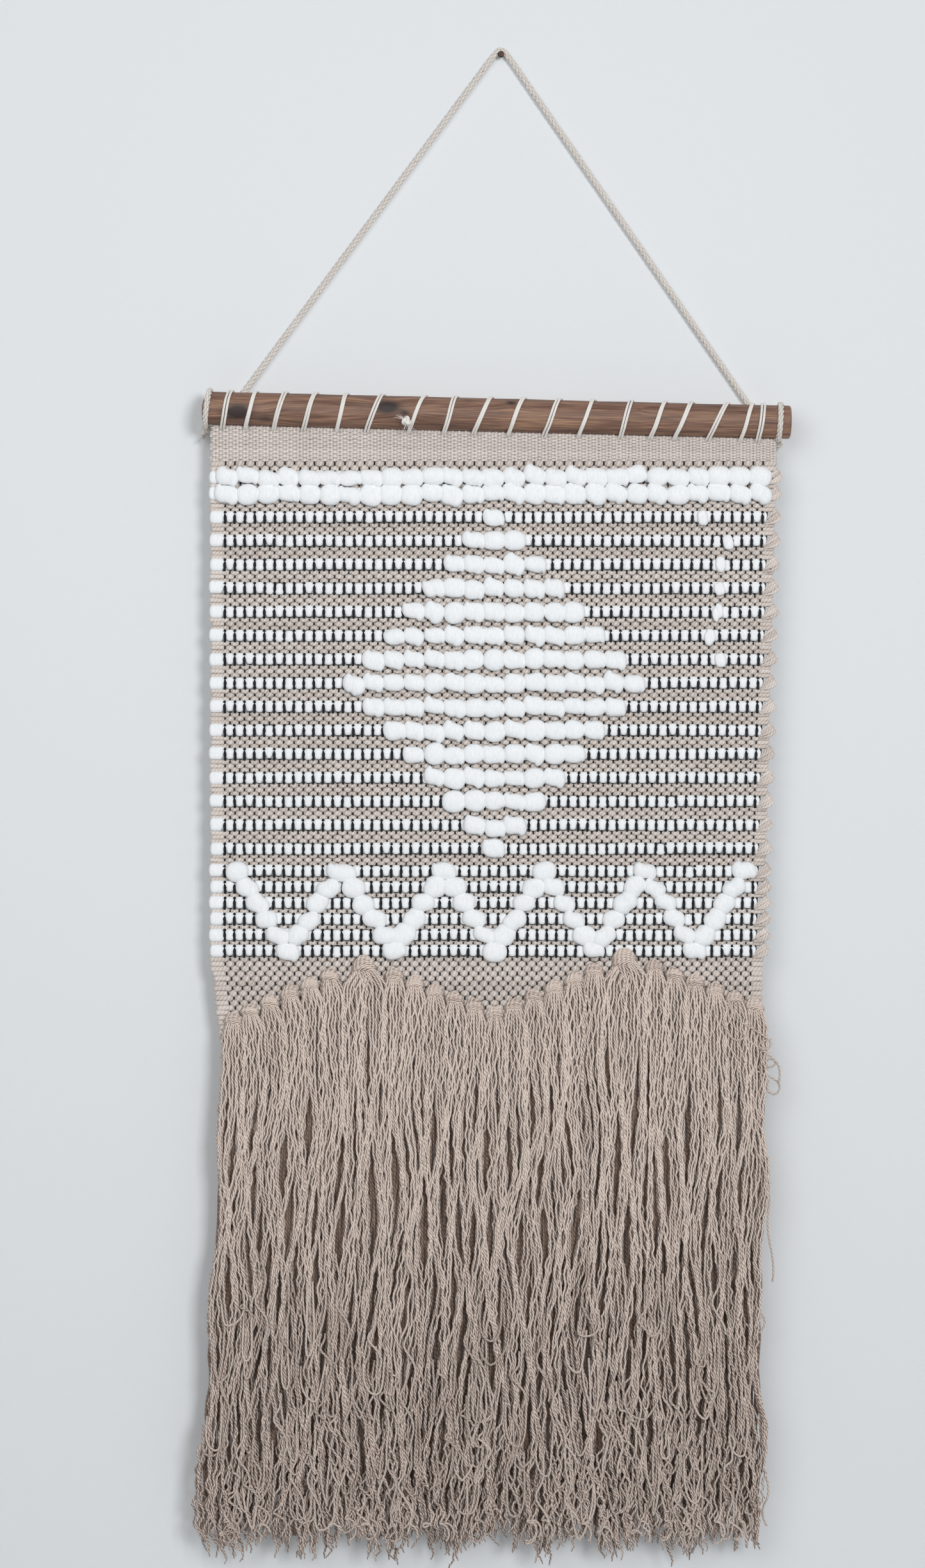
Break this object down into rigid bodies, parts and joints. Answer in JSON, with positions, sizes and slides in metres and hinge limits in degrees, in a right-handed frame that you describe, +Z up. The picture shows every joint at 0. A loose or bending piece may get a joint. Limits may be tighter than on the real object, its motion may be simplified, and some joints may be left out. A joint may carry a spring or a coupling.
{
  "type": "tapestry wall hanging",
  "caption": "Woven wall hanging with white jersey tufts in a diamond and a zigzag, knotted tassel fringe, laced to a stick on a cord and nail.",
  "frame": {"origin": "on the axis of the nail's shank, in the face of the wall", "axes": "+X to the right along the panel, +Z up, -Y out of the wall into the room, so +Y runs along the shank into the wall"},
  "size_m": [0.5641, 0.0792, 1.4409],
  "materials": {
    "nail_steel": "dull, rusting",
    "cotton_cord": "twisted",
    "peeled_branch": "bare, weathered",
    "cotton_twine": "twisted",
    "tan_cotton": "plain weave",
    "dark_warp": "thread",
    "white_jersey": "soft knit",
    "tassel_yarn": "twisted"
  },
  "bodies": {
    "nail": {"wall_nail": "nail_steel"},
    "hanger": {"hanging_cord": "cotton_cord", "cord_hitch_left": "cotton_cord", "cord_hitch_right": "cotton_cord", "hanging_stick": "peeled_branch"},
    "cloth": {"lacing_twine": "cotton_twine", "hem_band": "tan_cotton", "ground_weave": "tan_cotton", "warp_threads": "dark_warp", "tassel_knots": "tassel_yarn", "jersey_row_01": "white_jersey", "jersey_row_02": "white_jersey", "jersey_row_03": "white_jersey", "jersey_row_04": "white_jersey", "jersey_row_05": "white_jersey", "jersey_row_06": "white_jersey", "jersey_row_07": "white_jersey", "jersey_row_08": "white_jersey", "jersey_row_09": "white_jersey", "jersey_row_10": "white_jersey", "jersey_row_11": "white_jersey", "jersey_row_12": "white_jersey", "jersey_row_13": "white_jersey", "jersey_row_14": "white_jersey", "jersey_row_15": "white_jersey", "jersey_row_16": "white_jersey", "jersey_row_17": "white_jersey", "jersey_row_18": "white_jersey", "jersey_row_19": "white_jersey", "jersey_row_20": "white_jersey", "jersey_row_21": "white_jersey", "jersey_row_22": "white_jersey", "jersey_row_23": "white_jersey"},
    "fringe": {"tassel_01": "tassel_yarn", "tassel_02": "tassel_yarn", "tassel_03": "tassel_yarn", "tassel_04": "tassel_yarn", "tassel_05": "tassel_yarn", "tassel_06": "tassel_yarn", "tassel_07": "tassel_yarn", "tassel_08": "tassel_yarn", "tassel_09": "tassel_yarn", "tassel_10": "tassel_yarn", "tassel_11": "tassel_yarn", "tassel_12": "tassel_yarn", "tassel_13": "tassel_yarn", "tassel_14": "tassel_yarn", "tassel_15": "tassel_yarn", "tassel_16": "tassel_yarn", "tassel_17": "tassel_yarn", "tassel_18": "tassel_yarn", "tassel_19": "tassel_yarn", "tassel_20": "tassel_yarn", "tassel_21": "tassel_yarn", "tassel_22": "tassel_yarn", "tassel_23": "tassel_yarn", "tassel_24": "tassel_yarn", "tassel_25": "tassel_yarn", "tassel_26": "tassel_yarn", "tassel_27": "tassel_yarn"}
  },
  "joints": [
    {"name": "nail_swing", "type": "hinge", "parent": "nail", "child": "hanger", "pos_m": [0, 0, 0], "axis": [0, 1, 0], "range_deg": [-10, 10]},
    {"name": "cloth_lift", "type": "hinge", "parent": "hanger", "child": "cloth", "pos_m": [-0.286, -0.03, -0.3413], "axis": [-0.9997, 0, 0.0249], "range_deg": [0, 60]},
    {"name": "fringe_lift", "type": "hinge", "parent": "cloth", "child": "fringe", "pos_m": [0, -0.039, -0.934], "axis": [-1, 0, 0], "range_deg": [0, 45]}
  ]
}
